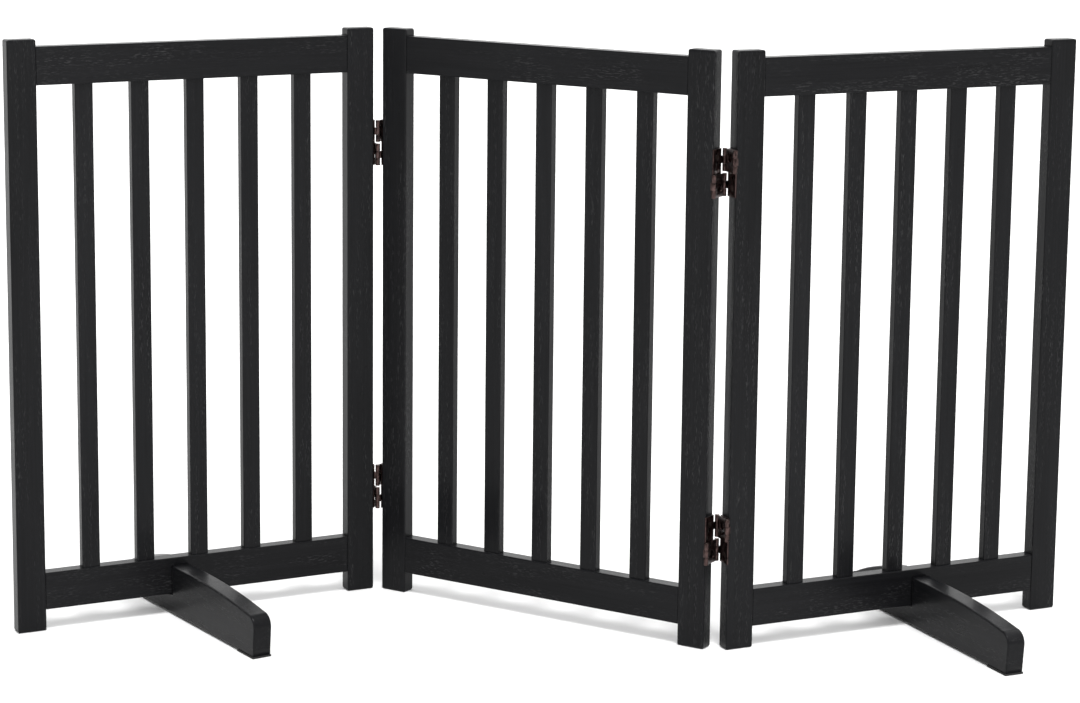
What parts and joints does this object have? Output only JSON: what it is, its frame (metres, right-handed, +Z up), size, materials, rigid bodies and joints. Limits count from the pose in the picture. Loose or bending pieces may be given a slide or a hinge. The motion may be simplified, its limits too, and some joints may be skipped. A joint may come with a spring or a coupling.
{
  "type": "folding pet gate",
  "caption": "Free-standing folding gate of slatted black wooden panels on double-acting hinges, with push-on feet across the outer rails.",
  "frame": {"origin": "middle of the bounding box, on the floor", "axes": "+X along the opening that the gate closes, left to right seen from the front; -Y is the front; +Z up"},
  "size_m": [1.089, 0.2995, 0.61],
  "materials": {
    "black_lacquered_wood": "black satin lacquer over open-grained wood",
    "bronzed_hinge_steel": "dark bronze plating, worn brighter on the barrels",
    "hinge_pin_steel": "dull steel pins",
    "screw_steel": "bronzed countersunk screws",
    "anti_slip_rubber": "matt black rubber",
    "bare_dowel_wood": "bare beech, glued in"
  },
  "bodies": {
    "centre_panel": {"centre_panel_bottom_rail": "black_lacquered_wood", "centre_panel_dowels": "bare_dowel_wood", "centre_panel_hinge_pins": "hinge_pin_steel", "centre_panel_hinge_screws": "screw_steel", "centre_panel_left_post": "black_lacquered_wood", "centre_panel_right_post": "black_lacquered_wood", "centre_panel_slat_1": "black_lacquered_wood", "centre_panel_slat_2": "black_lacquered_wood", "centre_panel_slat_3": "black_lacquered_wood", "centre_panel_slat_4": "black_lacquered_wood", "centre_panel_slat_5": "black_lacquered_wood", "centre_panel_top_rail": "black_lacquered_wood", "left_joint_lower_hinge_centre_leaf": "bronzed_hinge_steel", "left_joint_lower_hinge_top_link": "bronzed_hinge_steel", "left_joint_upper_hinge_centre_leaf": "bronzed_hinge_steel", "left_joint_upper_hinge_top_link": "bronzed_hinge_steel", "right_joint_lower_hinge_bottom_link": "bronzed_hinge_steel", "right_joint_lower_hinge_centre_leaf": "bronzed_hinge_steel", "right_joint_upper_hinge_bottom_link": "bronzed_hinge_steel", "right_joint_upper_hinge_centre_leaf": "bronzed_hinge_steel"},
    "left_panel": {"left_joint_lower_hinge_bottom_link": "bronzed_hinge_steel", "left_joint_lower_hinge_outer_leaf": "bronzed_hinge_steel", "left_joint_upper_hinge_bottom_link": "bronzed_hinge_steel", "left_joint_upper_hinge_outer_leaf": "bronzed_hinge_steel", "left_panel_bottom_rail": "black_lacquered_wood", "left_panel_dowels": "bare_dowel_wood", "left_panel_hinge_pins": "hinge_pin_steel", "left_panel_hinge_screws": "screw_steel", "left_panel_left_post": "black_lacquered_wood", "left_panel_right_post": "black_lacquered_wood", "left_panel_slat_1": "black_lacquered_wood", "left_panel_slat_2": "black_lacquered_wood", "left_panel_slat_3": "black_lacquered_wood", "left_panel_slat_4": "black_lacquered_wood", "left_panel_slat_5": "black_lacquered_wood", "left_panel_top_rail": "black_lacquered_wood"},
    "right_panel": {"right_joint_lower_hinge_outer_leaf": "bronzed_hinge_steel", "right_joint_lower_hinge_top_link": "bronzed_hinge_steel", "right_joint_upper_hinge_outer_leaf": "bronzed_hinge_steel", "right_joint_upper_hinge_top_link": "bronzed_hinge_steel", "right_panel_bottom_rail": "black_lacquered_wood", "right_panel_dowels": "bare_dowel_wood", "right_panel_hinge_pins": "hinge_pin_steel", "right_panel_hinge_screws": "screw_steel", "right_panel_left_post": "black_lacquered_wood", "right_panel_right_post": "black_lacquered_wood", "right_panel_slat_1": "black_lacquered_wood", "right_panel_slat_2": "black_lacquered_wood", "right_panel_slat_3": "black_lacquered_wood", "right_panel_slat_4": "black_lacquered_wood", "right_panel_slat_5": "black_lacquered_wood", "right_panel_top_rail": "black_lacquered_wood"},
    "left_foot": {"left_foot": "black_lacquered_wood", "left_foot_pads": "anti_slip_rubber"},
    "right_foot": {"right_foot": "black_lacquered_wood", "right_foot_pads": "anti_slip_rubber"}
  },
  "joints": [
    {"name": "left_panel_fold", "type": "hinge", "parent": "centre_panel", "child": "left_panel", "pos_m": [-0.18183, 0.12801, 0.305], "axis": [0, 0, 1], "range_deg": [-58.5, 66.5]},
    {"name": "right_panel_fold", "type": "hinge", "parent": "centre_panel", "child": "right_panel", "pos_m": [0.17484, -0.06086, 0.305], "axis": [0, 0, 1], "range_deg": [-56, 84]},
    {"name": "left_foot_slide", "type": "slide", "parent": "left_panel", "child": "left_foot", "axis": [0.887, 0.4617, 0], "range_m": [-0.11, 0.03]},
    {"name": "right_foot_slide", "type": "slide", "parent": "right_panel", "child": "right_foot", "axis": [0.9063, 0.4226, 0], "range_m": [-0.06, 0.11]}
  ]
}
